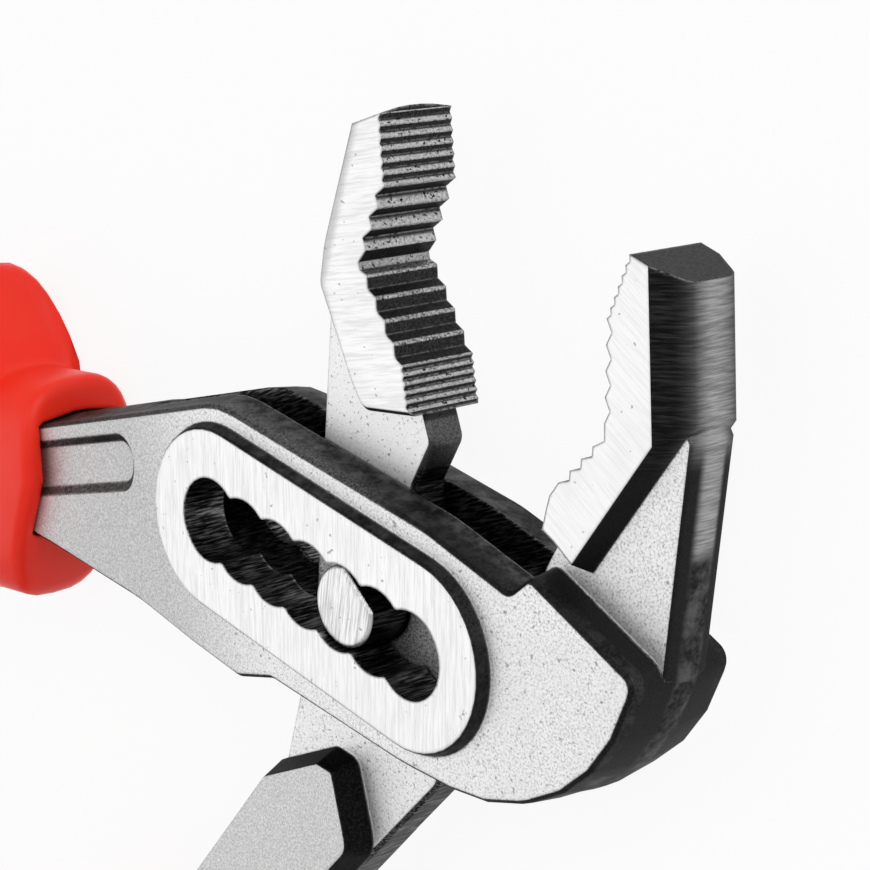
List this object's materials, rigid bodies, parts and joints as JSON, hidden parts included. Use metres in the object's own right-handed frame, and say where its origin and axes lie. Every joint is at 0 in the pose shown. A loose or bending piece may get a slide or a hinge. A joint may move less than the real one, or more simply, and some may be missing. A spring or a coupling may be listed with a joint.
{
  "type": "pipe pliers",
  "caption": "Box-joint pipe pliers with toothed jaws, a scalloped slot that resets the pivot pin, and long handles in guarded red grips.",
  "frame": {"origin": "middle of the footprint, at the level of the surface the tool lies on", "axes": "+X along the tool from the handle ends to the jaws, +Y from the lower handle to the upper handle, +Z through its thickness"},
  "size_m": [0.2476, 0.1432, 0.0148],
  "materials": {
    "forged_steel": "grained forging, ground bright on the jaw sides and pads",
    "pin_steel": "turned and ground",
    "grip_plastic": "semi-gloss red"
  },
  "bodies": {
    "slotted_half": {"slotted_lever": "forged_steel", "slotted_lever_grip": "grip_plastic"},
    "pin": {"pivot_pin": "pin_steel"},
    "through_half": {"through_lever": "forged_steel", "through_lever_grip": "grip_plastic"}
  },
  "joints": [
    {"name": "pin_in_slot", "type": "slide", "parent": "slotted_half", "child": "pin", "axis": [0.829, -0.5592, 0], "range_m": [-0.02, 0.01]},
    {"name": "handle_pivot", "type": "hinge", "parent": "pin", "child": "through_half", "pos_m": [0.07448, 0.02468, 0.0074], "axis": [0, 0, 1], "range_deg": [-23, 29.4]}
  ]
}
